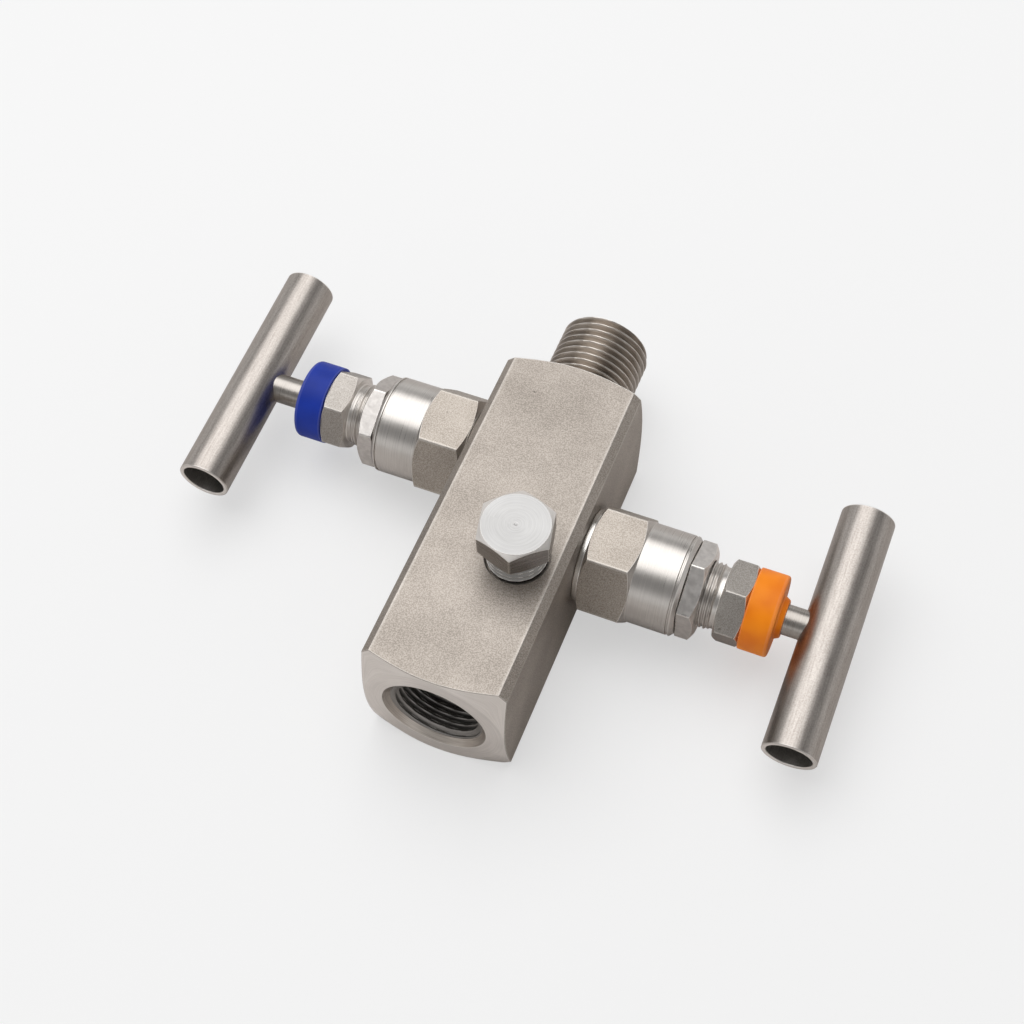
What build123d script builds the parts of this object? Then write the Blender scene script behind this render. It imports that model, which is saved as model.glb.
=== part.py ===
"""Two-valve instrument manifold: a square steel block with a female and a male 1/2 NPT end,
an isolate valve on its -X side, a vent valve on its +X side and a plugged vent port on top.

Frame: origin at the centre of the female port's face, +Y along the block to the male end,
+X towards the vent valve, +Z up. Millimetres. Each valve piece is drawn about its own axis,
with distances measured outwards from the block's centre line, and then laid on its side.
"""
from build123d import *
import math
import os

# --- block -------------------------------------------------------------------------------
BLOCK_W = 32.0          # across the flats of the square bar
BLOCK_L = 84.5          # between the two turned end faces
EDGE_CHAMFER = 1.7      # along the four long edges
END_FACE_R = 15.6       # flat left in the middle of each end before its turned cone starts
END_CONE_SLOPE = 0.40   # fall of the turned end cone per millimetre of radius

# --- end connections ---------------------------------------------------------------------
PIPE_PITCH = 1.814      # 1/2 NPT, cut as level rings
PIPE_THREAD_DEPTH = 1.25
PIPE_CREST = 0.35       # flat left on each ridge and at each root
MALE_R = 10.67          # 1/2 NPT nominal outside radius
MALE_L = 20.3
MALE_TIP_CHAMFER = 1.3
MALE_RELIEF_R = 9.4     # thread run-out groove behind the male thread
MALE_RELIEF_L = 1.2
GAUGE_R = 9.1           # radius inside the female thread's ridges
GAUGE_DEPTH = 21.0
GAUGE_SINK_R = 11.75    # mouth of the countersink
DRILL_POINT = 0.6       # depth of a drill point per millimetre of radius
INLET_R = 4.5
INLET_END_GAP = 3.4     # how far the inlet bore runs past the isolate valve's axis

# --- flow passages -----------------------------------------------------------------------
GALLERY_R = 2.0         # drilled way from the isolate valve's chamber to the gauge port
GALLERY_PORT_X = -1.0   # where it leaves the gauge port's floor
VENT_WAY_R = 1.8        # drilled way from the vent valve's chamber to the vent port

# --- vent port and plug (1/4 NPT) ----------------------------------------------------------
PORT_X = 5.65
PORT_Y = 33.9
PORT_R = 5.75
PORT_DEPTH = 11.5
PORT_SINK_R = 7.5
PLUG_CLEARANCE = 0.05
PLUG_HEX = 15.2         # across flats
PLUG_TURN = 42.0        # direction of its first corner from +X
PLUG_TOP = 12.4         # above the block
PLUG_HEAD_L = 6.4
PLUG_THREAD_DEPTH = 8.5
PLUG_NECK_R = 6.6       # thread that stands above the block
PLUG_CHAMFER_R = 7.3    # turned facet on the head
PLUG_LEAD = 1.1         # chamfer on the end of its thread

# --- valve positions ---------------------------------------------------------------------
ISOLATE_Y = 65.3
VENT_Y = 48.4
ISOLATE_OPEN = 2.5      # lift at rest, the isolate valve stands part open
VENT_OPEN = 0.0         # the vent valve stands closed
ISOLATE_HANDLE_TILT = 3.5
VENT_HANDLE_TILT = 6.1
ISOLATE_HEX_TURN = 127.4  # direction of a bonnet corner, from +Y towards +Z
VENT_HEX_TURN = 124.3
ISOLATE_LOCK_TURN = 146.2
VENT_LOCK_TURN = 153.4
ISOLATE_GLAND_TURN = 128.0
VENT_GLAND_TURN = 109.0

# --- bonnet ------------------------------------------------------------------------------
BONNET_SHANK_R = 8.0    # threaded into the block, thread left plain
BONNET_FIT = 0.05
SHANK_DEPTH = 6.5       # from the block's face to the ledge that the shank bottoms on
SEAL_T = 1.5
SEAL_R = 10.6
BONNET_HEX = 23.0
BONNET_HEX_L = 11.1
BONNET_CYL_R = 11.3
BONNET_CYL_L = 10.7
BONNET_LIP_CHAMFER = 0.8
BONNET_GROOVE_T = 0.5
BONNET_GROOVE_DEPTH = 0.35
BONNET_GROOVE_GAP = 1.1  # from the groove to the bonnet's outer face
NUT_BEVEL = math.tan(math.radians(30))

# --- seat, needle and stem -----------------------------------------------------------------
SEAT_DEPTH = 10.0       # from the block's face to the seat's edge
SEAT_R = 2.4
SEAT_RISE = 0.8         # height of the seat's cone, from its edge to the chamber's floor
CHAMBER_R = 5.5
NEEDLE_R = 4.0
NEEDLE_L = 9.0          # from the seat's edge to the end of the closed needle
NEEDLE_HALF_ANGLE = math.radians(30)
NEEDLE_TIP_R = 1.0
SEAT_GAP = 0.05         # between the closed needle and the seat's edge
LIFT = 4.0              # full travel of the needle
RUNNING_FIT = 0.05      # radial clearance of every turning or sliding fit
END_PLAY = 0.1          # axial clearance of the swivel
BUTTON_R = 2.1
BUTTON_NECK_R = 1.4
BUTTON_T = 1.2
BUTTON_NECK_L = 1.4
STEM_R = 3.38
STEM_THREAD_R = 4.0
BACKSEAT_GAP = 0.2      # left between the stem's shoulder and its backseat when fully open
GUIDE_L = 1.6           # land above the backseat that guides the stem

# --- packing, gland and dust cap -------------------------------------------------------------
PACKING_R = 6.6
PACKING_FIT = 0.05
WASHER_T = 0.8
PACKING_RINGS = 3
PACKING_RING_T = 1.3
FOLLOWER_T = 1.6
FOLLOWER_SUNK = 0.4     # how much of the follower lies in the packing's bore
GLAND_THREAD_R = 7.5
GLAND_IN = 4.5          # how far the gland is screwed into the bonnet
LOCK_GAP = 0.15         # between the bonnet's end and the lock nut
LOCK_HEX = 19.0
LOCK_T = 3.8
SHANK_SHOW = 4.1        # gland thread seen between the lock nut and the gland's hexagon
GLAND_HEX = 16.8
GLAND_HEX_L = 5.8
GLAND_NECK_R = 6.9      # run-out groove under the gland's hexagon
GLAND_NECK_L = 1.3
SPIGOT_R = 6.2
SPIGOT_L = 3.4
CAP_R = 9.15
CAP_L = 6.5
CAP_EDGE = 0.6
CAP_BOSS_R = 4.9
CAP_BOSS_L = 1.4

# --- handle --------------------------------------------------------------------------------
HANDLE_RISE = 11.25     # from the dust cap's end to the axis of the closed valve's handle
BAR_R = 6.0
BAR_WALL = 1.0
BAR_L = 58.0
TENON_R = 2.4
HANDLE_FIT = 0.02       # between the handle and the end of the stem that is joined in it

# --- places worked out from the sizes above ----------------------------------------------------
HALF_W = BLOCK_W / 2
SEAL_END = HALF_W + SEAL_T
HEX_END = SEAL_END + BONNET_HEX_L
BONNET_END = HEX_END + BONNET_CYL_L
LOCK_START = BONNET_END + LOCK_GAP
LOCK_END = LOCK_START + LOCK_T
GLAND_HEX_START = LOCK_END + SHANK_SHOW
GLAND_HEX_END = GLAND_HEX_START + GLAND_HEX_L
CAP_END = GLAND_HEX_END + CAP_L
HANDLE_S = CAP_END + HANDLE_RISE
GLAND_START = BONNET_END - GLAND_IN
RINGS_END = GLAND_START - FOLLOWER_T
RINGS_START = RINGS_END - PACKING_RINGS * PACKING_RING_T
PACKING_START = RINGS_START - WASHER_T
THREAD_BORE_START = RINGS_END + FOLLOWER_SUNK
BACKSEAT = PACKING_START - GUIDE_L
SHANK_IN = HALF_W - SHANK_DEPTH
SEAT_S = HALF_W - SEAT_DEPTH
CHAMBER_START = SEAT_S + SEAT_RISE
NEEDLE_END = SEAT_S + NEEDLE_L
STEM_START = NEEDLE_END + END_PLAY
STEM_THREAD_END = BACKSEAT - BACKSEAT_GAP - LIFT


def hexagon(across_flats, turn=0.0):
    """A hexagon whose first corner lies at the angle turn."""
    return Rot(0, 0, turn) * RegularPolygon(across_flats / math.sqrt(3), 6)


def lathe(points):
    """A solid turned about the Z axis from (radius, height) points listed in order."""
    corners = [(radius, 0, height) for radius, height in points]
    return revolve(make_face(Polyline(*corners, close=True)), Axis.Z)


def tube(outer, inner, start, end):
    """A plain ring between two radii, from start to end along Z."""
    return lathe([(inner, start), (outer, start), (outer, end), (inner, end)])


def nut_blank(across_flats, start, end, turn, bevel_start=True, bevel_end=True):
    """A hexagonal prism with its corners turned down to the flats at the wanted ends."""
    flat_r = across_flats / 2
    corner_r = across_flats / math.sqrt(3)
    bevel = (corner_r - flat_r) * NUT_BEVEL
    low = bevel if bevel_start else 0
    high = bevel if bevel_end else 0
    first_r = flat_r if bevel_start else corner_r
    last_r = flat_r if bevel_end else corner_r
    points = [(0, start), (first_r, start)]
    if bevel_start:
        points.append((corner_r, start + low))
    if bevel_end:
        points.append((corner_r, end - high))
    points += [(last_r, end), (0, end)]
    prism = Pos(0, 0, start) * extrude(hexagon(across_flats, turn), end - start)
    return prism & lathe(points)


def drilled(start, end, radius):
    """A round drilling between two points."""
    path = Vector(*end) - Vector(*start)
    return Plane(origin=start, z_dir=path) * Cylinder(
        radius, path.length, align=(Align.CENTER, Align.CENTER, Align.MIN))


def lay(side, centre_y):
    """The plane that lays a valve drawn about Z on its side, pointing to +X or -X."""
    return Plane(origin=(0, centre_y, 0), x_dir=(0, 1, 0), z_dir=(side, 0, 0))


def end_cone_fall(radius):
    """How far the turned end cone lies behind the end face at a radius."""
    return END_CONE_SLOPE * (radius - END_FACE_R)


# --- block -----------------------------------------------------------------------------------
def bar_stock():
    """Chamfered square bar, both ends turned to a shallow cone round a flat face."""
    section = chamfer(Rectangle(BLOCK_W, BLOCK_W).vertices(), EDGE_CHAMFER)
    bar = extrude(section, BLOCK_L)
    corner_r = HALF_W * math.sqrt(2)
    fall = end_cone_fall(corner_r)
    turned = lathe([(0, 0), (END_FACE_R, 0), (corner_r, fall), (corner_r, BLOCK_L - fall),
                    (END_FACE_R, BLOCK_L), (0, BLOCK_L)])
    return bar & turned


def pipe_ridges(crest_r, root_r, start, end):
    """Profile of a ring-cut pipe thread, with a full ridge at its start and at its end."""
    count = round((end - start) / PIPE_PITCH)
    pitch = (end - start - PIPE_CREST) / count
    flank = pitch / 2 - PIPE_CREST
    points = [(crest_r, start)]
    for index in range(count):
        ridge_end = start + index * pitch + PIPE_CREST
        points += [(crest_r, ridge_end), (root_r, ridge_end + flank),
                   (root_r, ridge_end + flank + PIPE_CREST), (crest_r, start + (index + 1) * pitch)]
    return points + [(crest_r, end)]


def male_end():
    """Male connection: run-out groove at the shoulder, ridged thread and chamfered tip."""
    groove_end = BLOCK_L + MALE_RELIEF_L
    tip = BLOCK_L + MALE_L
    ridges = pipe_ridges(MALE_R, MALE_R - PIPE_THREAD_DEPTH,
                         groove_end + (MALE_R - MALE_RELIEF_R) / 2, tip - MALE_TIP_CHAMFER)
    return lathe([(0, BLOCK_L), (MALE_RELIEF_R, BLOCK_L), (MALE_RELIEF_R, groove_end)] + ridges
                 + [(MALE_R - MALE_TIP_CHAMFER, tip), (0, tip)])


def gauge_bore():
    """Female connection: countersunk mouth, ridged thread and drill point."""
    sink = GAUGE_SINK_R - GAUGE_R
    floor = GAUGE_DEPTH + GAUGE_R * DRILL_POINT
    ridges = pipe_ridges(GAUGE_R, GAUGE_R + PIPE_THREAD_DEPTH, sink, GAUGE_DEPTH)
    return lathe([(0, 0), (GAUGE_SINK_R, 0)] + ridges + [(0, floor)])


def inlet_bore():
    """Process bore from the male tip to just past the isolate valve's axis."""
    start = ISOLATE_Y - INLET_END_GAP
    tip = BLOCK_L + MALE_L
    return lathe([(0, start), (INLET_R, start + INLET_R * DRILL_POINT), (INLET_R, tip), (0, tip)])


def valve_cavity(seat_hole_start):
    """Seat hole, seat, chamber and bonnet bore, about a valve's own axis."""
    return lathe([(0, seat_hole_start), (SEAT_R, seat_hole_start), (SEAT_R, SEAT_S),
                  (SEAT_R + SEAT_RISE, CHAMBER_START), (CHAMBER_R, CHAMBER_START),
                  (CHAMBER_R, SHANK_IN), (BONNET_SHANK_R, SHANK_IN), (BONNET_SHANK_R, HALF_W),
                  (0, HALF_W)])


def port_bore():
    """Vent port in the top face: countersink, tapped bore and flat floor."""
    sink = PORT_SINK_R - PORT_R
    return Pos(PORT_X, PORT_Y, HALF_W) * lathe([
        (0, 0), (PORT_SINK_R, 0), (PORT_R, -sink), (PORT_R, -PORT_DEPTH), (0, -PORT_DEPTH)])


def body():
    """The block with every bore and drilled way."""
    upright = bar_stock() + male_end() - gauge_bore() - inlet_bore()
    block = Rot(-90, 0, 0) * upright
    chamber_mid = (CHAMBER_START + SHANK_IN) / 2
    port_floor = GAUGE_DEPTH + GAUGE_R * DRILL_POINT / 2
    gallery_start = (GALLERY_PORT_X, port_floor, 0)
    gallery_end = (-chamber_mid, ISOLATE_Y - CHAMBER_R + GALLERY_R, 0)
    run = (VENT_Y - port_floor) / (gallery_end[1] - port_floor)
    gallery_x = GALLERY_PORT_X + run * (gallery_end[0] - GALLERY_PORT_X)
    vent_start = (PORT_X, PORT_Y + PORT_R / 3, HALF_W - PORT_DEPTH + VENT_WAY_R)
    vent_end = (chamber_mid, VENT_Y - CHAMBER_R / 2, 0)
    block -= lay(-1, ISOLATE_Y) * valve_cavity(0)
    block -= lay(1, VENT_Y) * valve_cavity(gallery_x)
    block -= drilled(gallery_start, gallery_end, GALLERY_R)
    block -= port_bore()
    block -= drilled(vent_start, vent_end, VENT_WAY_R)
    return block


def vent_plug():
    """Hexagonal plug: turned head facet, thread above and inside the block, chamfered end."""
    head_base = PLUG_TOP - PLUG_HEAD_L
    corner_r = PLUG_HEX / math.sqrt(3)
    facet = (corner_r - PLUG_CHAMFER_R) * NUT_BEVEL
    shank_r = PORT_R - PLUG_CLEARANCE
    head = extrude(hexagon(PLUG_HEX, PLUG_TURN), PLUG_HEAD_L)
    head &= lathe([(0, 0), (PLUG_CHAMFER_R, 0), (corner_r, facet),
                   (corner_r, PLUG_HEAD_L - facet), (PLUG_CHAMFER_R, PLUG_HEAD_L),
                   (0, PLUG_HEAD_L)])
    sink = PORT_SINK_R - PORT_R
    shank = lathe([(0, -PLUG_THREAD_DEPTH), (shank_r - PLUG_LEAD, -PLUG_THREAD_DEPTH),
                   (shank_r, PLUG_LEAD - PLUG_THREAD_DEPTH), (shank_r, -sink / 2),
                   (PLUG_NECK_R, 0), (PLUG_NECK_R, head_base), (0, head_base)])
    return Pos(PORT_X, PORT_Y, HALF_W) * (shank + Pos(0, 0, head_base) * head)


# --- one valve, drawn about Z -------------------------------------------------------------------
def bonnet(turn):
    """Threaded shank, bevelled hexagon and turned barrel, bored for stem, packing and gland."""
    shank_r = BONNET_SHANK_R - BONNET_FIT
    shank = lathe([(0, SHANK_IN), (shank_r, SHANK_IN), (shank_r, SEAL_END), (0, SEAL_END)])
    groove_end = BONNET_END - BONNET_GROOVE_GAP
    groove_start = groove_end - BONNET_GROOVE_T
    groove_r = BONNET_CYL_R - BONNET_GROOVE_DEPTH
    lip = BONNET_CYL_R - BONNET_LIP_CHAMFER
    barrel = lathe([(0, HEX_END), (BONNET_CYL_R, HEX_END), (BONNET_CYL_R, groove_start),
                    (groove_r, groove_start), (groove_r, groove_end),
                    (BONNET_CYL_R, groove_end), (BONNET_CYL_R, BONNET_END - BONNET_LIP_CHAMFER),
                    (lip, BONNET_END), (0, BONNET_END)])
    hexagon_part = nut_blank(BONNET_HEX, SEAL_END, HEX_END, turn)
    low_r = STEM_THREAD_R + RUNNING_FIT
    guide_r = STEM_R + RUNNING_FIT
    bore = lathe([(0, SHANK_IN), (low_r, SHANK_IN), (low_r, BACKSEAT), (guide_r, BACKSEAT),
                  (guide_r, PACKING_START), (PACKING_R, PACKING_START),
                  (PACKING_R, THREAD_BORE_START), (GLAND_THREAD_R, THREAD_BORE_START),
                  (GLAND_THREAD_R, BONNET_END), (0, BONNET_END)])
    return shank + hexagon_part + barrel - bore


def bonnet_seal():
    """Metal seal ring clamped between the block and the bonnet's hexagon."""
    edge = SEAL_T / 4
    return lathe([(BONNET_SHANK_R, HALF_W), (SEAL_R - edge, HALF_W), (SEAL_R, HALF_W + edge),
                  (SEAL_R, SEAL_END - edge), (SEAL_R - edge, SEAL_END),
                  (BONNET_SHANK_R, SEAL_END)])


def lock_nut(turn):
    """Thin nut that locks the gland: bevelled on its outer side only."""
    nut = nut_blank(LOCK_HEX, LOCK_START, LOCK_END, turn, bevel_start=False)
    return nut - tube(GLAND_THREAD_R, 0, LOCK_START, LOCK_END)


def gland_nut(turn):
    """Gland: threaded shank, run-out groove, bevelled hexagon and the spigot of the dust cap."""
    thread_r = GLAND_THREAD_R - PACKING_FIT
    groove_start = GLAND_HEX_START - GLAND_NECK_L
    spigot_end = GLAND_HEX_END + SPIGOT_L
    shank = lathe([(0, GLAND_START), (thread_r, GLAND_START), (thread_r, groove_start),
                   (GLAND_NECK_R, groove_start + thread_r - GLAND_NECK_R),
                   (GLAND_NECK_R, GLAND_HEX_START), (0, GLAND_HEX_START)])
    head = nut_blank(GLAND_HEX, GLAND_HEX_START, GLAND_HEX_END, turn)
    spigot = tube(SPIGOT_R, 0, GLAND_HEX_END, spigot_end)
    bore = tube(STEM_R + RUNNING_FIT, 0, GLAND_START, spigot_end)
    return shank + head + spigot - bore


def dust_cap():
    """Moulded cap snapped over the gland's spigot, bevelled outside, with a boss round the stem."""
    outside = lathe([(0, GLAND_HEX_END), (CAP_R, GLAND_HEX_END), (CAP_R, CAP_END - CAP_EDGE),
                     (CAP_R - CAP_EDGE, CAP_END), (0, CAP_END)])
    boss = lathe([(0, CAP_END), (CAP_BOSS_R, CAP_END), (CAP_BOSS_R - CAP_BOSS_L / 2,
                  CAP_END + CAP_BOSS_L), (0, CAP_END + CAP_BOSS_L)])
    recess = tube(SPIGOT_R, 0, GLAND_HEX_END, GLAND_HEX_END + SPIGOT_L)
    bore = tube(STEM_R + RUNNING_FIT, 0, GLAND_HEX_END, CAP_END + CAP_BOSS_L)
    return outside + boss - recess - bore


def packing_washer():
    """Backing washer at the bottom of the packing chamber."""
    return tube(PACKING_R - PACKING_FIT, STEM_R + RUNNING_FIT, PACKING_START, RINGS_START)


def packing_rings():
    """Stack of graphite rings, each pressed to a slightly rounded section."""
    inner = STEM_R + RUNNING_FIT
    outer = PACKING_R - PACKING_FIT
    edge = PACKING_RING_T / 6
    rings = []
    for index in range(PACKING_RINGS):
        low = RINGS_START + index * PACKING_RING_T
        high = low + PACKING_RING_T
        rings.append(lathe([(inner, low), (outer - edge, low), (outer, low + edge),
                            (outer, high - edge), (outer - edge, high), (inner, high)]))
    return Compound(children=rings)


def packing_follower():
    """Loose sleeve that the gland pushes down on the packing."""
    return tube(PACKING_R - PACKING_FIT, STEM_R + RUNNING_FIT, RINGS_END, GLAND_START)


def needle():
    """Non-rotating needle: 60 degree tip, plain guide and a pocket for the stem's button."""
    slope = math.tan(NEEDLE_HALF_ANGLE)
    cone_base = SEAT_S + SEAT_GAP / math.sin(NEEDLE_HALF_ANGLE)
    tip = cone_base - (SEAT_R - NEEDLE_TIP_R) / slope
    shoulder = cone_base + (NEEDLE_R - SEAT_R) / slope
    outside = lathe([(0, tip - NEEDLE_TIP_R / 2), (NEEDLE_TIP_R, tip), (NEEDLE_R, shoulder),
                     (NEEDLE_R, NEEDLE_END), (0, NEEDLE_END)])
    neck_start = NEEDLE_END - BUTTON_NECK_L + END_PLAY
    pocket_start = neck_start - BUTTON_T - END_PLAY
    pocket = lathe([(0, pocket_start), (BUTTON_R + RUNNING_FIT, pocket_start),
                    (BUTTON_R + RUNNING_FIT, neck_start), (BUTTON_NECK_R + RUNNING_FIT, neck_start),
                    (BUTTON_NECK_R + RUNNING_FIT, NEEDLE_END), (0, NEEDLE_END)])
    return outside - pocket


def bar_rod(radius, length, tilt):
    """A round rod across the stem at the handle's place, turned by the handle's tilt."""
    return Pos(0, 0, HANDLE_S) * Rot(0, 0, tilt) * Rot(0, 90, 0) * Cylinder(radius, length)


def stem(tilt):
    """Rotating stem: swivel button, thread, polished shaft and the tenon across the handle."""
    button_end = NEEDLE_END - BUTTON_NECK_L
    button_start = button_end - BUTTON_T
    shoulder = HANDLE_S - BAR_R + 2 * BAR_WALL
    shaft = lathe([(0, button_start), (BUTTON_R, button_start), (BUTTON_R, button_end),
                   (BUTTON_NECK_R, button_end), (BUTTON_NECK_R, STEM_START),
                   (STEM_THREAD_R, STEM_START), (STEM_THREAD_R, STEM_THREAD_END),
                   (STEM_R, STEM_THREAD_END), (STEM_R, shoulder), (0, shoulder)])
    tenon = tube(TENON_R, 0, shoulder, HANDLE_S + BAR_R)
    return shaft + (tenon & bar_rod(BAR_R - BAR_WALL - HANDLE_FIT, BAR_L, tilt))


def handle_bar(tilt):
    """Tube handle, drilled on one side for the stem, whose tenon is joined to its far wall."""
    bar = bar_rod(BAR_R, BAR_L, tilt) - bar_rod(BAR_R - BAR_WALL, BAR_L, tilt)
    return bar - tube(STEM_R + HANDLE_FIT, 0, HANDLE_S - BAR_R, HANDLE_S)


def valve(name, side, centre_y, lift, turns, tilt):
    """Every piece of one valve in place, as a dictionary of node name to shape.

    turns are the corner directions of the bonnet, the lock nut and the gland.
    """
    place = lay(side, centre_y)
    lifted = place * Pos(0, 0, lift)
    bonnet_turn, lock_turn, gland_turn = (side * turn for turn in turns)
    fixed = {
        "bonnet": bonnet(bonnet_turn),
        "bonnet_seal": bonnet_seal(),
        "packing_washer": packing_washer(),
        "packing_rings": packing_rings(),
        "packing_follower": packing_follower(),
        "lock_nut": lock_nut(lock_turn),
        "gland_nut": gland_nut(gland_turn),
        "dust_cap": dust_cap(),
    }
    moving = {
        "needle": needle(),
        "stem": stem(side * tilt),
        "handle_bar": handle_bar(side * tilt),
    }
    nodes = {f"{name}_{piece}": place * shape for piece, shape in fixed.items()}
    nodes |= {f"{name}_{piece}": lifted * shape for piece, shape in moving.items()}
    return nodes


isolate_turns = (ISOLATE_HEX_TURN, ISOLATE_LOCK_TURN, ISOLATE_GLAND_TURN)
vent_turns = (VENT_HEX_TURN, VENT_LOCK_TURN, VENT_GLAND_TURN)
nodes = {"body": body(), "vent_plug": vent_plug()}
nodes |= valve("isolate", -1, ISOLATE_Y, ISOLATE_OPEN, isolate_turns, ISOLATE_HANDLE_TILT)
nodes |= valve("vent", 1, VENT_Y, VENT_OPEN, vent_turns, VENT_HANDLE_TILT)

os.makedirs("parts", exist_ok=True)
for node, shape in nodes.items():
    export_step(shape, f"parts/{node}.step")
    print(node, round(shape.volume, 1))
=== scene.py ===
"""Looks of a two-valve instrument manifold, put together in the order of its assembly.

Every dressed piece is a skin worked out as a grid: a profile of radius and distance along the
piece's own axis, carried round that axis, in millimetres. Where the section is a square or a
hexagon, the radius follows the angle. The finished mesh is laid in the frame in metres.
"""
import math

import bmesh
import bpy
import numpy as np
from mathutils import Matrix, Vector


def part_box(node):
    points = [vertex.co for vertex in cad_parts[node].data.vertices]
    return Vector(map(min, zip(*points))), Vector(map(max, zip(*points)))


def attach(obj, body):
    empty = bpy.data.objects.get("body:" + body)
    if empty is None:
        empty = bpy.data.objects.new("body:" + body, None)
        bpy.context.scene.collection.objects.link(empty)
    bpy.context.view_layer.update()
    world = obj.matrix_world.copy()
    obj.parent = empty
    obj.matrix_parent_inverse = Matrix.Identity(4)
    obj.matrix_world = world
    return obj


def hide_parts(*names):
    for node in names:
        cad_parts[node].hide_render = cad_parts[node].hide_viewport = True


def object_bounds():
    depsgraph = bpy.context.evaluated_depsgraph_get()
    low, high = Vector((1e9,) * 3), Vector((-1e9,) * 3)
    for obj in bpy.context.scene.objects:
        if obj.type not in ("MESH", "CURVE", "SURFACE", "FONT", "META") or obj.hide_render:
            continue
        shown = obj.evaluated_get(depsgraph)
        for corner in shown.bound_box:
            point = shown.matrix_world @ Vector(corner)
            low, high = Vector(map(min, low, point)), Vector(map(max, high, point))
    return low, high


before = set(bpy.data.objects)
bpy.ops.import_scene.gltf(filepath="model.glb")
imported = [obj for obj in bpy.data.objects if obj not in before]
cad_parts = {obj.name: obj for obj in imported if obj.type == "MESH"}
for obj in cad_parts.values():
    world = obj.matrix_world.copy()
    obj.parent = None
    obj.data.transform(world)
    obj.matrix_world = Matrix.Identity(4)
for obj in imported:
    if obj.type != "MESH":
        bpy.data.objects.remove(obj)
cad_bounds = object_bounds()

# === Block ====================================================================================
# A length of square stainless bar with chamfered long edges, bead-blasted all over. Both ends
# are then turned to a flat face inside a shallow cone, and it is bored for the two pipe
# threads, for the vent port on top and for a valve on each side.
MM = 0.001
BAR_CHAMFER = 1.7
BAR_EDGE = 0.25             # rounding left by the blasting
CRISP_EDGE = 0.05           # roundings left by the lathe and by deburring
FINE_EDGE = 0.1
TURNED_EDGE = 0.12
EASED_EDGE = 0.2
SOFT_EDGE = 0.3
END_FACE_R = 15.6
END_CONE_SLOPE = 0.40
MALE_L = 20.3
MALE_TIP_CHAMFER = 1.3
MALE_TIP_LAND = 0.6
INLET_R = 4.5
INLET_END = 61.9
GAUGE_SINK_R = 11.75
GAUGE_DEPTH = 21.0
DRILL_POINT = 0.6
PIPE_MALE_R = 10.67
PIPE_CREST_R = 9.1
PIPE_THREAD_DEPTH = 1.25
PORT_R = 5.75
PORT_SINK_R = 7.15
PORT_DEPTH = 11.5
SEAT_R = 2.4
SEAT_HOLE_L = 3.5           # below the seat, for a closed needle's tip
SEAT_S = 6.0                # from the block's centre line to a valve's seat
SEAT_RISE = 0.8
CHAMBER_R = 5.5
SHANK_S = 9.5
SHANK_R = 8.0
FIT = 0.05                  # play between two pieces, or a thread's root and its core
OVERCUT = 1.0               # how far a cutter stands out of the block
SHARP_ANGLE = math.radians(38)
DENT_CELL = 4.5             # about the distance between two places for a dent
DENT_WARP = 0.0012          # share of noise in their pattern's coordinates
DENT_RIM = (0.03, 0.09)     # from a dent's floor to its rim, as shares of DENT_CELL
DENT_CHANCE = (0.50, 0.55)  # about half of the places have a dent
WORN = (0.72, 0.69, 0.65, 1)
# painted shade for the hollow of a dent
DENT_SHADE = (0.07, 0.06, 0.05, 1)


class Value:
    """A shader socket that takes part in arithmetic: each operator adds its Math node."""

    def __init__(self, graph, socket):
        self.graph = graph
        self.socket = socket

    def maths(self, operation, first, second):
        """Joins two values, or a value and a number, by one Math node."""
        return self.graph.node("Math", {0: first, 1: second}, {"operation": operation})

    def __add__(self, other):
        return self.maths("ADD", self, other)

    def __sub__(self, other):
        return self.maths("SUBTRACT", self, other)

    def __rsub__(self, other):
        return self.maths("SUBTRACT", other, self)

    def __mul__(self, other):
        return self.maths("MULTIPLY", self, other)

    __radd__ = __add__
    __rmul__ = __mul__

    def ramp(self, low, high):
        """0 below low, 1 above high and smooth between."""
        return self.graph.node("MapRange", {"Value": self, "From Min": low, "From Max": high},
                               {"interpolation_type": "SMOOTHSTEP"})


class Graph:
    """A shader node tree, to which one method adds every node."""

    def __init__(self, tree):
        self.tree = tree

    def feed(self, socket, value):
        """Links a Value to a socket, or sets the socket to a plain number or colour."""
        if isinstance(value, Value):
            self.tree.links.new(value.socket, socket)
        else:
            socket.default_value = value

    def node(self, kind, sockets=None, settings=None, output=0):
        """Adds one shader node, its settings first and then its sockets, and gives an output."""
        node = self.tree.nodes.new("ShaderNode" + kind)
        for key, value in (settings or {}).items():
            setattr(node, key, value)
        for key, value in (sockets or {}).items():
            self.feed(node.inputs[key], value)
        return Value(self, node.outputs[output])


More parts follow.
